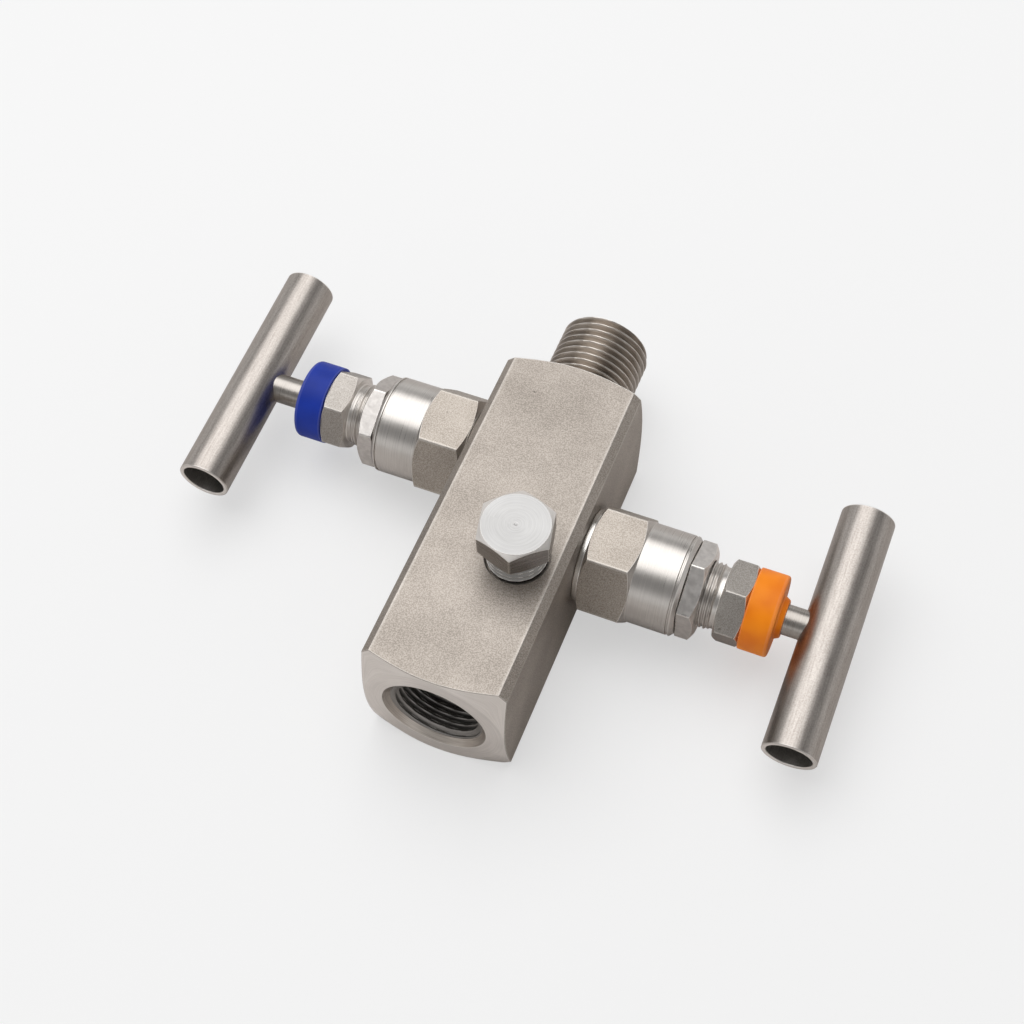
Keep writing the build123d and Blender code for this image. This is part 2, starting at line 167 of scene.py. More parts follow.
class Finish(Graph):
    """A material with one Principled shader, whose sockets take numbers or Values."""

    def __init__(self, name, **constants):
        self.material = bpy.data.materials.new(name)
        self.material.use_nodes = True
        super().__init__(self.material.node_tree)
        self.shader = self.tree.nodes["Principled BSDF"]
        self.paint(**constants)

    def paint(self, **inputs):
        """Feeds the shader's sockets, named with _ for a space, and gives the material."""
        for name, value in inputs.items():
            self.feed(self.shader.inputs[name.replace("_", " ")], value)
        return self.material

    def place(self):
        """The piece's own Object coordinates, in metres."""
        return self.node("TexCoord", output="Object")

    def wrap(self, round_scale, along_scale):
        """The piece's UV map in millimetres, stretched round the axis and along the profile."""
        uv = self.node("TexCoord", output="UV")
        return self.node("Mapping", {"Vector": uv, "Scale": (round_scale, along_scale, 1)})

    def noise(self, where, scale, detail=2.0):
        """Smooth random patches about 1 / scale across, with finer ones added."""
        return self.node("TexNoise", {"Vector": where, "Scale": scale, "Detail": detail})

    def worn(self):
        """The piece's own edge map: 1 on rounded edges, 0 on open faces."""
        return self.node("Attribute", settings={"attribute_name": "edge"}, output="Fac")

    def blend(self, factor, first, second):
        """A colour between two colours."""
        return self.node("Mix", {0: factor, 6: first, 7: second}, {"data_type": "RGBA"}, 2)

    def bump(self, height, strength, depth):
        """A normal that follows a height, depth millimetres from 0 to 1."""
        return self.node("Bump", {"Height": height, "Strength": strength, "Distance": depth * MM})


def blasted_steel(name, dark, light, roughness, grain):
    """Bead-blasted stainless: overlapping dimples a grain across, faint clouds and rubbed edges.

    A small dent lies where the surface meets a point of a warped Voronoi pattern, at about half
    of the points. Its hollow is bumped and also painted dark, as painted shade.
    """
    steel = Finish(name, Metallic=1.0)
    where = steel.place()
    dimples = steel.noise(where, 1 / (grain * MM), 3.0)
    clouds = steel.noise(where, 75.0, 3.0)
    tone = dimples.ramp(0.32, 0.68) * 0.72 + clouds.ramp(0.30, 0.70) * 0.28
    rubbed = steel.worn() * (0.12 + 0.30 * clouds)
    colour = steel.blend(rubbed, steel.blend(tone, dark, light), WORN)
    coarse = steel.noise(where, 1 / (2.2 * grain * MM), 2.0)
    warped = steel.node("Mix", {0: DENT_WARP, 4: where, 5: steel.noise(where, 900.0)},
                        {"data_type": "VECTOR"}, 1)
    cells = {"Vector": warped, "Scale": 1 / (DENT_CELL * MM)}
    chance = steel.node("TexVoronoi", cells, output="Color").ramp(*DENT_CHANCE)
    dent = (1 - steel.node("TexVoronoi", cells).ramp(*DENT_RIM)) * chance
    # a dent's hollow is painted dark: painted shade
    return steel.paint(Base_Color=steel.blend(dent * 0.45, colour, DENT_SHADE),
                       Roughness=roughness - 0.07 + dimples * 0.14 - rubbed * 0.15,
                       Normal=steel.bump(dimples + coarse - 2 * dent, 0.65, 0.050))


def turned_steel(name, dark, light, roughness, marks=5.0, depth=0.012, wear=0.3, **constants):
    """Lathe-turned steel: fine lines round the axis, marks to a millimetre, over faint clouds."""
    steel = Finish(name, Metallic=1.0, **constants)
    lines = steel.noise(steel.wrap(0.02, 1.0), marks, 4.0)
    clouds = steel.noise(steel.place(), 120.0, 2.0)
    tone = lines.ramp(0.30, 0.70) * 0.6 + clouds.ramp(0.30, 0.70) * 0.4
    rubbed = steel.worn() * (wear + wear * clouds)
    return steel.paint(Base_Color=steel.blend(rubbed, steel.blend(tone, dark, light), WORN),
                       Roughness=roughness - 0.11 + lines * 0.14 + clouds * 0.08,
                       Normal=steel.bump(lines, 0.45, depth))


def span(node, axis):
    """Lowest and highest coordinate of a CAD node along one axis, in millimetres."""
    low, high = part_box(node)
    return low[axis] / MM, high[axis] / MM


def rounded_polygon(corners, rounding, per_side=22, per_corner=5):
    """Angles, radii and edge map round a convex polygon about its centre.

    Each corner is the quadratic curve (1-t)^2 start + 2t(1-t) corner + t^2 end between the two
    points where its sides stop, each the rounding over the tangent of half the corner's angle
    away from it. Each side is evenly stepped, with a step close to either end.
    """
    corners = np.array(corners, float)
    ahead = np.roll(corners, -1, 0) - corners
    length = np.linalg.norm(ahead, axis=1, keepdims=True)
    ahead /= length
    behind = -np.roll(ahead, 1, 0)
    cosine = (ahead * behind).sum(1, keepdims=True)
    reach = rounding * np.sqrt((1 + cosine) / (1 - cosine))
    start, end = corners + behind * reach, corners + ahead * reach
    t = np.linspace(0, 1, per_corner)[None, :, None]
    curve = ((1 - t) ** 2 * start[:, None] + 2 * t * (1 - t) * corners[:, None]
             + t ** 2 * end[:, None])
    share = np.concatenate([[0.02], np.linspace(0, 1, per_side)[1:-1], [0.98]])
    straight = (length - reach - np.roll(reach, -1, 0))[:, None]
    side = end[:, None] + ahead[:, None] * straight * share[None, :, None]
    points = np.concatenate([curve, side], 1).reshape(-1, 2)
    worn = np.tile(np.repeat([1.0, 0.0], [per_corner, len(share)]), len(corners))
    angles = np.arctan2(points[:, 1], points[:, 0])
    order = np.argsort(angles)
    return angles[order], np.hypot(points[:, 0], points[:, 1])[order], worn[order]


def circle(count=192):
    """Evenly spaced angles, and no worn edge, round a plain turned piece."""
    return np.arange(count) * 2 * math.pi / count, np.zeros(count)


def soften(profile, count, ring):
    """Rows of a profile with its corners rounded, as in rounded_polygon.

    profile lists (radius, distance, rounding, band), where radius and distance are numbers or
    one value for each angle, and band is the finish from there to the next corner. A corner
    takes at most 0.42 of either side, and a row just beyond each of its ends keeps the side
    flat in the shading. Gives the rows, their bands, their edge map and whether each lies on a
    milled side.
    """
    places = np.array([[np.broadcast_to(radius, count), np.broadcast_to(distance, count)]
                       for radius, distance, _, _ in profile], float)
    milled = [np.ndim(radius) > 0 for radius, _, _, _ in profile]
    rows, bands, worn, sides = [], [], [], []
    for index, (_, _, rounding, band) in enumerate(profile):
        here = places[index]
        following = (index + 1) % len(profile)
        if not ring and index in (0, len(profile) - 1):
            rows.append(here[None])
            bands.append([band])
            worn.append([0])
            sides.append([False])
            continue
        before = places[index - 1] - here
        after = places[following] - here
        long_before, long_after = (np.maximum(np.hypot(*way), 1e-6) for way in (before, after))
        cosine = np.clip((before * after).sum(0) / long_before / long_after, -0.9999, 0.9999)
        reach = np.minimum(rounding * np.sqrt((1 + cosine) / (1 - cosine)),
                           0.42 * np.minimum(long_before, long_after))
        hold = 0.1 * rounding + 0.03
        start = here + before / long_before * reach
        end = here + after / long_after * reach
        first = start + before / long_before * np.minimum(hold, 0.1 * long_before)
        last = end + after / long_after * np.minimum(hold, 0.1 * long_after)
        t = np.linspace(0, 1, 5)[:, None, None]
        curve = (1 - t) ** 2 * start + 2 * t * (1 - t) * here + t ** 2 * end
        rows.append(np.concatenate([first[None], curve, last[None]]))
        bands.append([profile[index - 1][3]] + [band] * 6)
        worn.append([0] + [float(rounding > 0)] * 5 + [0])
        here_milled = milled[index]
        sides.append([here_milled and milled[index - 1]] + [here_milled] * 5
                     + [here_milled and milled[following]])
    return tuple(np.concatenate(part) for part in (rows, bands, worn, sides))


def skin(name, rows, bands, worn, angles, finishes, to_world, ring):
    """A closed skin over the grid (row, angle) -> (radius cos, radius sin, distance).

    In a ring the last row joins the first; otherwise the end rows close on the axis. The UV map
    holds the distance round the axis and along the profile, in millimetres.
    """
    radius, distance = rows[:, 0], rows[:, 1]
    points = np.stack([radius * np.cos(angles), radius * np.sin(angles), distance], -1) * MM
    count = len(angles)
    row = np.arange(len(rows) if ring else len(rows) - 1)[:, None]
    column = np.arange(count)[None, :]
    here, above = row * count, (row + 1) % len(rows) * count
    beside = (column + 1) % count
    faces = np.stack([here + column, here + beside, above + beside, above + column], -1)
    steps = np.hypot(*(np.roll(rows, -1, 0) - rows).mean(2).T)
    along = np.concatenate([[0], np.cumsum(steps)])
    round_axis = np.append(angles, angles[0] + 2 * math.pi) * radius.max()
    uv = np.stack(np.broadcast_arrays(round_axis[column + [[0]]], along[row]), -1)
    shift = np.stack(np.broadcast_arrays(round_axis[column + 1], along[row + 1]), -1)
    corners = np.stack([uv, np.stack([shift[..., 0], uv[..., 1]], -1), shift,
                        np.stack([uv[..., 0], shift[..., 1]], -1)], -2)
    mesh = bpy.data.meshes.new(name)
    mesh.from_pydata(points.reshape(-1, 3).tolist(), [], faces.reshape(-1, 4).tolist())
    mesh.uv_layers.new(name="turning").data.foreach_set("uv", corners.ravel())
    mesh.attributes.new("edge", "FLOAT", "POINT").data.foreach_set("value", worn.ravel())
    for finish in finishes:
        mesh.materials.append(finish)
    mesh.polygons.foreach_set("material_index", np.repeat(bands[row[:, 0]], count))
    mesh.transform(to_world)
    tidy = bmesh.new()
    tidy.from_mesh(mesh)
    bmesh.ops.remove_doubles(tidy, verts=tidy.verts, dist=1e-7)
    bmesh.ops.recalc_face_normals(tidy, faces=tidy.faces)
    tidy.to_mesh(mesh)
    tidy.free()
    mesh.shade_smooth()
    mesh.set_sharp_from_angle(angle=SHARP_ANGLE)
    piece = bpy.data.objects.new(name, mesh)
    bpy.context.scene.collection.objects.link(piece)
    return piece


def turned(name, profile, finishes, to_world, section=None, ring=False):
    """A piece whose softened profile is carried round its axis, or round its section.

    Its edge map is the larger of the profile's and, on milled sides, the section's.
    """
    angles, side_worn = (section[0], section[2]) if section else circle()
    rows, bands, worn, sides = soften(profile, len(angles), ring)
    edge = np.maximum(worn[:, None], side_worn[None, :] * sides[:, None])
    return skin(name, rows, bands, edge.astype(np.float32), angles, finishes, to_world, ring)


def along_block():
    """Local Z runs along the block, +Y in the frame."""
    return Matrix(((1, 0, 0, 0), (0, 0, 1, 0), (0, -1, 0, 0), (0, 0, 0, 1)))


def upright(x, y, z):
    """Local Z points up from a place given in millimetres."""
    return Matrix.Translation(Vector((x, y, z)) * MM)


def along_valve(side, y):
    """Local Z points out along a valve's axis, local X along the block."""
    return Matrix(((0, 0, side, 0), (1, 0, 0, y * MM), (0, side, 0, 0), (0, 0, 0, 1)))


def bore(piece, name, profile, finish, to_world):
    """Takes a turned shape out of a piece.

    The edge map is 0 wherever a vertex is nearer to the cutter's axis than its widest radius.
    """
    cutter = turned(name, profile, [finish], to_world)
    boolean = piece.modifiers.new("bore", "BOOLEAN")
    boolean.operation = "DIFFERENCE"
    boolean.solver = "EXACT"
    boolean.object = cutter
    graph = bpy.context.evaluated_depsgraph_get()
    bored = bpy.data.meshes.new_from_object(piece.evaluated_get(graph))
    piece.modifiers.clear()
    piece.data = bored
    bored.set_sharp_from_angle(angle=SHARP_ANGLE)
    places = np.empty(3 * len(bored.vertices))
    bored.vertices.foreach_get("co", places)
    inward = np.array(to_world.inverted())
    local = places.reshape(-1, 3) @ inward[:3, :3].T + inward[:3, 3]
    reach = max(radius for radius, _, _, _ in profile) * MM
    edge = np.empty(len(bored.vertices), np.float32)
    bored.attributes["edge"].data.foreach_get("value", edge)
    edge[np.hypot(local[:, 0], local[:, 1]) < reach] = 0
    bored.attributes["edge"].data.foreach_set("value", edge)
    bpy.data.objects.remove(cutter)


half_w = span("body", 0)[1]
male_tip = span("body", 1)[1]
block_end = male_tip - MALE_L
plug_x = sum(span("vent_plug", 0)) / 2
plug_y = sum(span("vent_plug", 1)) / 2
plug_top = span("vent_plug", 2)[1]
valve_y = {name: sum(span(f"{name}_bonnet_seal", 1)) / 2 for name in ("isolate", "vent")}

block_finish = blasted_steel("block_blasted", (0.240, 0.212, 0.185, 1), (0.480, 0.432, 0.388, 1),
                             roughness=0.50, grain=0.27)
face_finish = turned_steel("turned_face", (0.70, 0.665, 0.63, 1), (0.84, 0.80, 0.765, 1),
                           roughness=0.38, marks=3.0, depth=0.006)
thread_finish = turned_steel("thread_steel", (0.27, 0.235, 0.205, 1), (0.50, 0.455, 0.41, 1),
                             roughness=0.30)
# Steel for the bores, darker than the same steel outside them: painted shade inside the holes.
port_shaded_finish = turned_steel("port_steel_shaded", (0.19, 0.18, 0.17, 1), (0.32, 0.305, 0.29, 1),
                           roughness=0.42, wear=0.05)

inner = half_w - BAR_CHAMFER
square = rounded_polygon([(half_w, -inner), (half_w, inner), (inner, half_w), (-inner, half_w),
                          (-half_w, inner), (-half_w, -inner), (-inner, -half_w),
                          (inner, -half_w)], BAR_EDGE, per_side=26)
fall = END_CONE_SLOPE * np.maximum(square[1] - END_FACE_R, 0)
gauge_root_r = PIPE_CREST_R + PIPE_THREAD_DEPTH
male_core_r = PIPE_MALE_R - PIPE_THREAD_DEPTH - FIT
block = turned("manifold_block", [
    (0, GAUGE_DEPTH + gauge_root_r * DRILL_POINT, 0, 2),
    (gauge_root_r, GAUGE_DEPTH, EASED_EDGE, 2),
    # the countersink takes the thread steel, darker than the face: painted shade in the countersink
    (gauge_root_r, GAUGE_SINK_R - gauge_root_r, CRISP_EDGE, 3),
    (GAUGE_SINK_R, 0, TURNED_EDGE, 1),
    (END_FACE_R, 0, SOFT_EDGE, 1),
    (square[1], fall, BAR_EDGE, 0),
    (square[1], block_end - fall, BAR_EDGE, 1),
    (END_FACE_R, block_end, SOFT_EDGE, 1),
    (male_core_r, block_end, FINE_EDGE, 2),
    (male_core_r, male_tip - MALE_TIP_CHAMFER, FINE_EDGE, 1),
    (male_core_r - MALE_TIP_LAND, male_tip, FINE_EDGE, 1),
    (INLET_R, male_tip, TURNED_EDGE, 2),
    (INLET_R, INLET_END + INLET_R * DRILL_POINT, FINE_EDGE, 2),
    (0, INLET_END, 0, 2),
], [block_finish, face_finish, port_shaded_finish, thread_finish], along_block(), square)
bore(block, "vent_port_cutter", [
    (0, -PORT_DEPTH, 0, 0), (PORT_R, -PORT_DEPTH, FINE_EDGE, 0),
    (PORT_R, PORT_R - PORT_SINK_R, CRISP_EDGE, 0), (PORT_SINK_R, 0, 0, 0),
    (PORT_SINK_R + OVERCUT, OVERCUT, 0, 0), (0, OVERCUT, 0, 0)],
    face_finish, upright(plug_x, plug_y, half_w))
for name, side in (("isolate", -1), ("vent", 1)):
    bore(block, f"{name}_cavity_cutter", [
        (0, SEAT_S - SEAT_HOLE_L, 0, 0), (SEAT_R, SEAT_S - SEAT_HOLE_L, 0, 0),
        (SEAT_R, SEAT_S, 0, 0), (SEAT_R + SEAT_RISE, SEAT_S + SEAT_RISE, 0, 0),
        (CHAMBER_R, SEAT_S + SEAT_RISE, 0, 0), (CHAMBER_R, SHANK_S, 0, 0), (SHANK_R, SHANK_S, 0, 0),
        (SHANK_R, half_w + OVERCUT, 0, 0), (0, half_w + OVERCUT, 0, 0)],
        face_finish, along_valve(side, valve_y[name]))
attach(block, "manifold")
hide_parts("body")

# === Pipe threads ==============================================================================
# The male stub and the gauge port carry threads cut on the lathe, the male one a 1/2 inch pipe
# thread that runs out in a groove at the shoulder, the gauge port's a little finer.
PIPE_PITCH = 1.814
GAUGE_PITCH = 1.5
GAUGE_THREAD_DEPTH = 0.95
MALE_RELIEF_L = 1.2
THREAD_CLEAR = 0.02         # keeps a ridge just inside the plain size it is cut from
MALE_SLEEVE_T = 1.3         # how far a threaded sleeve reaches into what it is cut in
GAUGE_SLEEVE_T = 1.0
GAUGE_LEAD = 0.1            # by which the ridge starts before the countersink ends
GAUGE_RUNOUT = 0.5          # by which it ends before the bore does


def threaded(name, crest, depth, pitch, start, end, back, finish, to_world, inside=False,
             fade=0.6, steps=18):
    """A threaded sleeve: a helix on its near side, plain at radius back on its far side.

    The ridge's height at a place is a triangle wave of (distance / pitch - angle / turn),
    stretched 1.36 times about its middle and cut flat at crest and root. It fades out over the
    last fade pitches of each end. The edge map marks the ridge's top fifth.
    """
    angles, _ = circle(160)
    distance = np.arange(start, end + 1e-9, pitch / steps)[:, None]
    phase = distance / pitch - angles[None, :] / (2 * math.pi)
    wave = 1 - np.abs(2 * (phase - np.floor(phase)) - 1)
    ends = np.clip(np.minimum(distance - start, end - distance) / (fade * pitch), 0, 1)
    ridge = np.clip(1.36 * wave - 0.18, 0, 1) * ends
    outward = -1 if inside else 1
    radius = crest - outward * depth * (1 - ridge)
    wall = np.stack([radius, np.broadcast_to(distance, radius.shape)], 1)
    plain = np.array([[np.full(len(angles), back), np.full(len(angles), level)]
                      for level in (end, start)])
    rows = np.concatenate([wall, plain])
    crests = np.concatenate([np.clip(ridge * 5 - 4, 0, 1), np.zeros((2, len(angles)))])
    return skin(name, rows, np.zeros(len(rows), int), crests.astype(np.float32), angles,
                [finish], to_world, True)


male_thread = threaded(
    "male_pipe_thread", PIPE_MALE_R - THREAD_CLEAR, PIPE_THREAD_DEPTH, PIPE_PITCH,
    block_end + MALE_RELIEF_L, male_tip - MALE_TIP_LAND / 2, male_core_r - MALE_SLEEVE_T,
    thread_finish, along_block(), fade=0.35)
# The gauge port's ridges take the bores' darker steel, painted shade in the port.
gauge_thread = threaded(
    "gauge_port_thread", PIPE_CREST_R, GAUGE_THREAD_DEPTH, GAUGE_PITCH,
    GAUGE_SINK_R - gauge_root_r - GAUGE_LEAD, GAUGE_DEPTH - GAUGE_RUNOUT,
    gauge_root_r + GAUGE_SLEEVE_T, port_shaded_finish, along_block(), inside=True, fade=0.3, steps=14)
for sleeve in (male_thread, gauge_thread):
    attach(sleeve, "manifold")

# === Vent plug =================================================================================
# A solid hexagon plug turned from bright bar. Its top is faced, which leaves rings and a small
# centre mark, and a narrow bevel goes round it. It is screwed into the port on a 1/4 inch thread.
PLUG_HEX = 15.2
PLUG_TURN = 42.0
PLUG_HEAD_L = 6.4
PLUG_FACET_R = 7.3
PLUG_NECK_R = 6.6
PLUG_PITCH = 1.411
PLUG_THREAD_DEPTH = 0.75
PLUG_IN = 7.0
PLUG_LEAD = 1.0             # length of the tapered end
PLUG_RELIEF = 0.3           # by which the shank is thinner inside the port
PLUG_THREAD_LOW = -0.9      # from the block's top face
PLUG_RUNOUT = 0.5
PLUG_SLEEVE_T = 0.6
PLUG_END_R = 4.4
PLUG_CENTRE_R = 0.45
PLUG_CENTRE_DEPTH = 0.12
NUT_BEVEL = math.tan(math.radians(30))
HEX_EDGE = 0.022            # rounding of a hexagon's corners, as a share of its width


def hexagon(across_flats, turn):
    """A rounded hexagon's angles, radii and edge map, its first corner at turn degrees.

    A corner's radius is the width across flats over the square root of 3.
    """
    around = np.radians(turn + 60 * np.arange(6))
    corners = np.stack([np.cos(around), np.sin(around)], 1) * across_flats / math.sqrt(3)
    return rounded_polygon(corners, HEX_EDGE * across_flats)


# Painted shade: the flanks' dark steel. Painted highlight: the bevel's pale face steel.
plug_flank_shaded = turned_steel("plug_flank_shaded", (0.17, 0.152, 0.14, 1), (0.28, 0.26, 0.243, 1),
                          roughness=0.28, marks=1.5, depth=0.004)
plug_face = turned_steel("plug_face", (0.32, 0.315, 0.31, 1), (0.43, 0.425, 0.42, 1),
                         roughness=0.36, marks=4.0, depth=0.018, Anisotropic=0.65)
plug_cut = turned_steel("plug_thread", (0.40, 0.38, 0.36, 1), (0.58, 0.555, 0.53, 1),
                        roughness=0.24)
section = hexagon(PLUG_HEX, PLUG_TURN)
head_end = plug_top - half_w
head_base = head_end - PLUG_HEAD_L
lift = (section[1] - PLUG_FACET_R) * NUT_BEVEL
root_r = PLUG_NECK_R - PLUG_THREAD_DEPTH
plug_place = upright(plug_x, plug_y, half_w)
plug_head = turned("vent_plug_head", [
    (0, -PLUG_IN, 0, 1), (PLUG_END_R, -PLUG_IN, EASED_EDGE, 1),
    (root_r - PLUG_RELIEF, PLUG_LEAD - PLUG_IN, FINE_EDGE, 1),
    (root_r - PLUG_RELIEF, -2 * PLUG_RELIEF, EASED_EDGE, 1),
    (root_r, 0, FINE_EDGE, 1), (root_r, head_base, FINE_EDGE, 1),
    # flanks: dark steel, painted shade; bevel: pale face steel, a painted highlight
    (PLUG_FACET_R, head_base, TURNED_EDGE, 0), (section[1], head_base + lift, TURNED_EDGE, 0),
    (section[1], head_end - lift, TURNED_EDGE, 2), (PLUG_FACET_R, head_end, TURNED_EDGE, 1),
    (PLUG_CENTRE_R, head_end, FINE_EDGE, 1), (0, head_end - PLUG_CENTRE_DEPTH, 0, 1)],
    [plug_flank_shaded, plug_face, face_finish], plug_place, section)
plug_thread = threaded("vent_plug_thread", PLUG_NECK_R, PLUG_THREAD_DEPTH, PLUG_PITCH,
                       PLUG_THREAD_LOW, head_base - PLUG_RUNOUT, root_r - PLUG_SLEEVE_T,
                       plug_cut, plug_place)
for piece in (plug_head, plug_thread):
    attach(piece, "manifold")
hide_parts("vent_plug")

# === Bonnets ===================================================================================
# Each valve's bonnet is one piece of hexagon bar, screwed into the block. Its hexagon is blasted
# and its corners are turned down at both ends, and its barrel is turned bright, with a fine
# groove near the lip.
BONNET_HEX = 23.0
BONNET_HEX_L = 11.1
BARREL_R = 11.3
BARREL_LIP = 0.8
BARREL_GROOVE = 0.35        # depth
BARREL_GROOVE_T = 0.5
BARREL_GROOVE_GAP = 1.1     # from the lip
BARREL_GROOVE_WALL = 0.1    # how far its sides slope
GLAND_THREAD_R = 7.5
PACKING_R = 6.6
STEM_THREAD_R = 4.0
STEM_R = 3.38
GUIDE_L = 1.6
BELOW_FLAT = 0.02           # keeps a turned end face just inside the flats
SHOULDER = 0.12             # from the hexagon's end to the barrel's full size
SHOULDER_EDGE = 0.08
GLAND_BORE_GAP = 0.4        # from the packing to the gland's bore


class Valve:
    """Where one valve's pieces lie: its side, its axis and the distances out from the block."""

    def __init__(self, name, side, bonnet_turn, lock_turn, gland_turn, handle_tilt):
        self.name = name
        self.side = side
        self.bonnet_turn = side * bonnet_turn
        self.lock_turn = side * lock_turn
        self.gland_turn = side * gland_turn
        self.handle_tilt = side * handle_tilt
        self.to_world = along_valve(side, valve_y[name])

    def out(self, piece):
        """Nearest and farthest distance of a CAD piece from the block's centre line."""
        ends = [self.side * value for value in span(f"{self.name}_{piece}", 0)]
        return min(ends), max(ends)

    def fit(self, piece, body, slot, node=None):
        """Makes a piece ride on a body and stand for the valve's CAD piece of that name."""
        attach(piece, body)
        if node:
            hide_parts(f"{self.name}_{node}")


valves = [
    Valve("isolate", side=-1, bonnet_turn=127.4, lock_turn=146.2, gland_turn=128.0, handle_tilt=3.5),
    Valve("vent", side=1, bonnet_turn=124.3, lock_turn=153.4, gland_turn=109.0, handle_tilt=6.1)]
bonnet_finish = blasted_steel("bonnet_blasted", (0.235, 0.205, 0.175, 1), (0.47, 0.425, 0.38, 1),
                              roughness=0.46, grain=0.25)
barrel_finish = turned_steel("barrel_turned", (0.46, 0.435, 0.41, 1), (0.60, 0.57, 0.54, 1),
                             roughness=0.30, marks=4.0, depth=0.004)
for valve in valves:
    section = hexagon(BONNET_HEX, valve.bonnet_turn)
    start, end = valve.out("bonnet_seal")[1], valve.out("bonnet")[1]
    packing_start, packing_end = valve.out("packing_washer")[0], valve.out("packing_rings")[1]
    hex_end = start + BONNET_HEX_L
    groove_end = end - BARREL_GROOVE_GAP
    groove_start = groove_end - BARREL_GROOVE_T
    lift = (section[1] - section[1].min()) * NUT_BEVEL
    flat_r = section[1].min() - BELOW_FLAT
    bonnet = turned(f"{valve.name}_bonnet_dressed", [
        (GLAND_THREAD_R, end, EASED_EDGE, 1),
        (GLAND_THREAD_R, packing_end + GLAND_BORE_GAP, CRISP_EDGE, 1),
        (PACKING_R, packing_end + GLAND_BORE_GAP, CRISP_EDGE, 1),
        (PACKING_R, packing_start, CRISP_EDGE, 1),
        (STEM_R + FIT, packing_start, CRISP_EDGE, 1),
        (STEM_R + FIT, packing_start - GUIDE_L, CRISP_EDGE, 1),
        (STEM_THREAD_R + FIT, packing_start - GUIDE_L, CRISP_EDGE, 1),
        (STEM_THREAD_R + FIT, SHANK_S, CRISP_EDGE, 1),
        (SHANK_R - FIT, SHANK_S, SOFT_EDGE, 1),
        (SHANK_R - FIT, start, CRISP_EDGE, 1),
        (flat_r, start, TURNED_EDGE, 1),
        (section[1], start + lift, TURNED_EDGE, 0),
        (section[1], hex_end - lift, TURNED_EDGE, 2),
        (flat_r, hex_end, SHOULDER_EDGE, 2),
        (BARREL_R, hex_end + SHOULDER, SHOULDER_EDGE, 2),
        (BARREL_R, groove_start, FINE_EDGE, 2),
        (BARREL_R - BARREL_GROOVE, groove_start + BARREL_GROOVE_WALL, CRISP_EDGE, 2),
        (BARREL_R - BARREL_GROOVE, groove_end - BARREL_GROOVE_WALL, CRISP_EDGE, 2),
        (BARREL_R, groove_end, FINE_EDGE, 2),
        (BARREL_R, end - BARREL_LIP, SOFT_EDGE, 2),
        (BARREL_R - BARREL_LIP, end, EASED_EDGE, 1),
    ], [bonnet_finish, face_finish, barrel_finish], valve.to_world, section, ring=True)
    valve.fit(bonnet, "manifold", "bonnet_steel", "bonnet")

# === Bonnet seals ==============================================================================
# A metal ring, turned bright all over, goes round each bonnet's shank. Screwing the bonnet in
# clamps it between the block and the hexagon, and only its rim shows.
SEAL_R = 10.6
SEAL_EDGE = 0.35

seal_finish = turned_steel("seal_turned", (0.56, 0.54, 0.51, 1), (0.80, 0.78, 0.75, 1),
                           roughness=0.20)
for valve in valves:
    start, end = valve.out("bonnet_seal")
    seal = turned(f"{valve.name}_seal_ring", [
        (SHANK_R, end, FINE_EDGE, 0), (SHANK_R, start, FINE_EDGE, 0), (SEAL_R, start, SEAL_EDGE, 0),
        (SEAL_R, end, SEAL_EDGE, 0)], [seal_finish], valve.to_world, ring=True)
    valve.fit(seal, "manifold", "fitting_steel", "bonnet_seal")

# === Needles and packing =======================================================================
# Inside each bonnet a loose needle, a washer, three pressed graphite rings and a follower sit
# round the stem. They keep their CAD shapes and get a finish each.


def pressed_graphite(name):
    """Pressed graphite, dull black with a fine metallic fleck."""
    graphite = Finish(name, Metallic=0.4)
    fleck = graphite.noise(graphite.place(), 2500.0, 3.0)
    return graphite.paint(
        Base_Color=graphite.blend(fleck, (0.02, 0.02, 0.02, 1), (0.09, 0.09, 0.10, 1)),
        Roughness=0.4 + 0.3 * fleck)


def ground_steel(name):
    """Ground and lapped steel with faint uneven patches."""
    steel = Finish(name, Metallic=1.0)
    patches = steel.noise(steel.place(), 300.0, 3.0)
    return steel.paint(
        Base_Color=steel.blend(patches, (0.50, 0.49, 0.47, 1), (0.72, 0.71, 0.69, 1)),
        Roughness=0.18 + 0.14 * patches)


graphite_finish = pressed_graphite("packing_graphite")
ground_finish = ground_steel("needle_ground")
inner_finishes = {"packing_washer": ground_finish, "packing_rings": graphite_finish,
                  "packing_follower": ground_finish, "needle": ground_finish}
for valve in valves:
    for piece, finish in inner_finishes.items():
        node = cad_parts[f"{valve.name}_{piece}"]
        node.data.materials.clear()
        node.data.materials.append(finish)

# === Lock nuts =================================================================================
# A thin milled hexagon nut on the gland's thread locks it against the bonnet. It is left bright,
# and its corners are turned down on the outer side only.
LOCK_HEX = 19.0

lock_finish = blasted_steel("lock_nut_bright", (0.47, 0.445, 0.425, 1), (0.62, 0.59, 0.565, 1),
                            roughness=0.32, grain=1.3)
for valve in valves:
    section = hexagon(LOCK_HEX, valve.lock_turn)
    start, end = valve.out("lock_nut")
    lift = (section[1] - section[1].min()) * NUT_BEVEL
    lock_nut = turned(f"{valve.name}_lock_nut_dressed", [
        (GLAND_THREAD_R, end, TURNED_EDGE, 1), (GLAND_THREAD_R, start, TURNED_EDGE, 1),
        (section[1], start, EASED_EDGE, 0), (section[1], end - lift, TURNED_EDGE, 1),
        (section[1].min() - BELOW_FLAT, end, TURNED_EDGE, 1)],
        [lock_finish, face_finish], valve.to_world, section, ring=True)
    valve.fit(lock_nut, "manifold", "bonnet_steel", "lock_nut")

